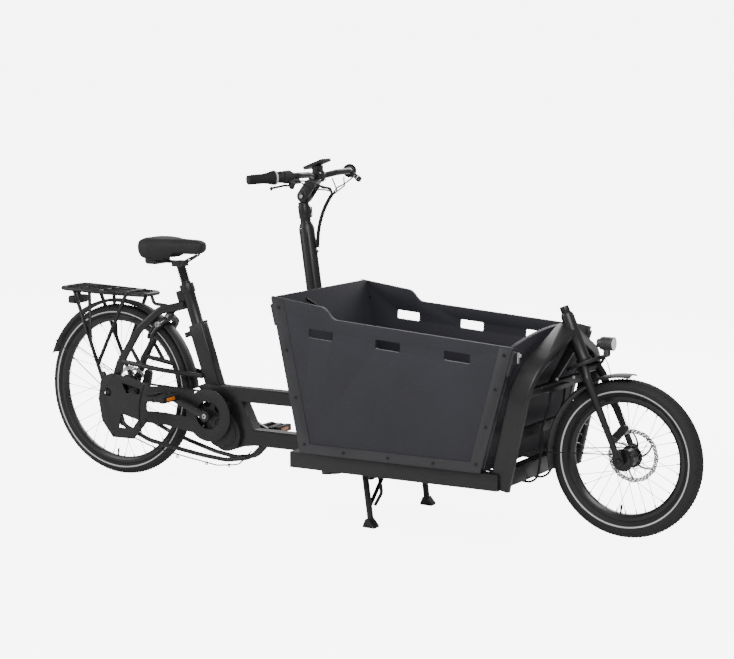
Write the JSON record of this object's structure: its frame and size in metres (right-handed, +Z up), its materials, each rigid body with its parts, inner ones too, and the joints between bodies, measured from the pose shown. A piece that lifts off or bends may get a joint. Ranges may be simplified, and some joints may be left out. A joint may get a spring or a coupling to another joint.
{
  "type": "cargo bicycle",
  "caption": "Long front-loading electric cargo bicycle with a low box between rider and small front wheel, cable steering, mid motor, centre stand, rack, saddle and lights.",
  "frame": {"origin": "middle of the bicycle's bounding box on the ground, with the bicycle resting on its rear tyre and centre stand", "axes": "+X forward towards the small wheel, +Y to the rider's left, +Z up"},
  "size_m": [2.6743, 0.6914, 1.2447],
  "materials": {
    "frame_paint": "satin black powder coat",
    "box_panel": "matte charcoal coated board",
    "trim": "matte black edge profile",
    "fixing": "black zinc bolts",
    "black_plastic": "satin moulded plastic",
    "tyre": "rubber with reflective stripe",
    "rim": "satin black anodised",
    "steel": "brushed stainless steel",
    "dark_steel": "black steel",
    "hose": "black hose",
    "saddle_cover": "black textured saddle cover",
    "red_lens": "red lens"
  },
  "bodies": {
    "frame": {"mast": "frame_paint", "frame_rails": "frame_paint", "motor": "black_plastic", "rear_triangle": "frame_paint", "sill_frame": "frame_paint", "front_arches": "frame_paint", "column_tube": "frame_paint", "box_sides": "box_panel", "box_ends": "box_panel", "box_floor": "box_panel", "box_trims": "trim", "box_bolts": "fixing", "rear_fender": "black_plastic", "rack": "frame_paint", "tail_light": "red_lens", "ring_lock": "black_plastic", "chain_guard": "black_plastic", "chain": "dark_steel", "rear_caliper": "dark_steel", "rear_axle": "steel", "frame_cables": "hose"},
    "lock_bolt": {"lock_bolt": "steel"},
    "rear_wheel": {"rear_hub": "rim", "rear_rim": "rim", "rear_tyre": "tyre", "rear_spokes": "steel", "rear_rotor": "steel"},
    "sprocket": {"sprocket": "dark_steel"},
    "crankset": {"chainring": "dark_steel", "cranks": "dark_steel"},
    "pedal_left": {"pedal_left": "black_plastic"},
    "pedal_right": {"pedal_right": "black_plastic"},
    "fork": {"fork": "frame_paint", "front_axle": "steel", "front_fender": "black_plastic", "front_caliper": "dark_steel", "cable_sector": "black_plastic"},
    "headlight": {"headlight": "black_plastic"},
    "front_wheel": {"front_hub": "rim", "front_rim": "rim", "front_tyre": "tyre", "front_spokes": "steel", "front_rotor": "steel"},
    "steering_shaft": {"steering_shaft": "frame_paint", "cable_sleeve": "hose"},
    "stem": {"stem": "frame_paint", "handlebar": "frame_paint", "grips": "hose", "lever_mounts": "black_plastic", "display": "black_plastic", "bar_hoses": "hose"},
    "shifter": {"shifter": "black_plastic"},
    "brake_lever_left": {"brake_lever_left": "dark_steel"},
    "brake_lever_right": {"brake_lever_right": "dark_steel"},
    "seatpost": {"seatpost": "dark_steel", "seatpost_boot": "hose"},
    "saddle": {"saddle_frame": "dark_steel", "saddle": "saddle_cover"},
    "stand": {"stand": "dark_steel"},
    "battery_key": {"battery_key": "steel"}
  },
  "joints": [
    {"name": "rear_wheel_spin", "type": "hinge", "parent": "frame", "child": "rear_wheel", "pos_m": [-1.00765, 0, 0.327], "axis": [0, 1, 0], "continuous": true},
    {"name": "crank_spin", "type": "hinge", "parent": "frame", "child": "crankset", "pos_m": [-0.56554, 0, 0.28176], "axis": [0, 1, 0], "continuous": true},
    {"name": "sprocket_spin", "type": "hinge", "parent": "frame", "child": "sprocket", "pos_m": [-1.00765, -0.047, 0.327], "axis": [0, 1, 0], "continuous": true},
    {"name": "pedal_left_spin", "type": "hinge", "parent": "crankset", "child": "pedal_left", "pos_m": [-0.40655, 0.14, 0.22157], "axis": [0, 1, 0], "continuous": true},
    {"name": "pedal_right_spin", "type": "hinge", "parent": "crankset", "child": "pedal_right", "pos_m": [-0.72453, -0.14, 0.34194], "axis": [0, 1, 0], "continuous": true},
    {"name": "fork_steer", "type": "hinge", "parent": "frame", "child": "fork", "pos_m": [0.879, 0, 0.6838], "axis": [-0.4189, 0, 0.908], "range_deg": [-40, 40]},
    {"name": "bar_steer", "type": "hinge", "parent": "frame", "child": "steering_shaft", "pos_m": [-0.17275, 0, 0.91859], "axis": [-0.1639, 0, 0.9865], "range_deg": [-40, 40], "deforming": ["cable_sleeve"]},
    {"name": "front_wheel_spin", "type": "hinge", "parent": "fork", "child": "front_wheel", "pos_m": [1.07221, 0, 0.31095], "axis": [0, 1, 0], "continuous": true},
    {"name": "headlight_tilt", "type": "hinge", "parent": "fork", "child": "headlight", "pos_m": [0.98795, 0, 0.64816], "axis": [0, 1, 0], "range_deg": [-10, 10]},
    {"name": "stem_angle", "type": "hinge", "parent": "steering_shaft", "child": "stem", "pos_m": [-0.19369, 0, 1.10718], "axis": [0, 1, 0], "range_deg": [-30, 30], "deforming": ["bar_hoses"]},
    {"name": "left_brake_pull", "type": "hinge", "parent": "stem", "child": "brake_lever_left", "pos_m": [-0.10489, 0.22107, 1.16116], "axis": [0.544, 0.3665, 0.7548], "range_deg": [0, 12], "stiffness_Nm_per_rad": 3, "springref_deg": -5.73},
    {"name": "right_brake_pull", "type": "hinge", "parent": "stem", "child": "brake_lever_right", "pos_m": [-0.10489, -0.22107, 1.16116], "axis": [-0.544, 0.3665, -0.7548], "range_deg": [0, 12], "stiffness_Nm_per_rad": 3, "springref_deg": -5.73},
    {"name": "shifter_twist", "type": "hinge", "parent": "stem", "child": "shifter", "pos_m": [-0.15352, -0.23886, 1.18758], "axis": [-0.4982, -0.8649, -0.061], "range_deg": [-60, 60]},
    {"name": "seat_height", "type": "slide", "parent": "frame", "child": "seatpost", "axis": [-0.3449, 0, 0.9386], "range_m": [0, 0.12]},
    {"name": "seat_suspension", "type": "slide", "parent": "seatpost", "child": "saddle", "axis": [-0.3449, 0, 0.9386], "range_m": [-0.03, 0], "stiffness_N_per_m": 12000, "springref_m": 0.01, "deforming": ["seatpost_boot"]},
    {"name": "stand_fold", "type": "hinge", "parent": "frame", "child": "stand", "pos_m": [0.19206, 0, 0.17247], "axis": [0, 1, 0], "range_deg": [0, 80]},
    {"name": "ring_lock_close", "type": "hinge", "parent": "frame", "child": "lock_bolt", "pos_m": [-0.81671, 0, 0.57375], "axis": [0.7909, 0, -0.612], "range_deg": [0, 98]},
    {"name": "battery_key_turn", "type": "hinge", "parent": "frame", "child": "battery_key", "pos_m": [-0.69125, 0, 0.56747], "axis": [-0.9386, 0, -0.3449], "range_deg": [0, 90]}
  ],
  "couplings": [
    {"joint": "fork_steer", "follows": "bar_steer", "ratio": 1},
    {"joint": "sprocket_spin", "follows": "crank_spin", "ratio": 2}
  ]
}
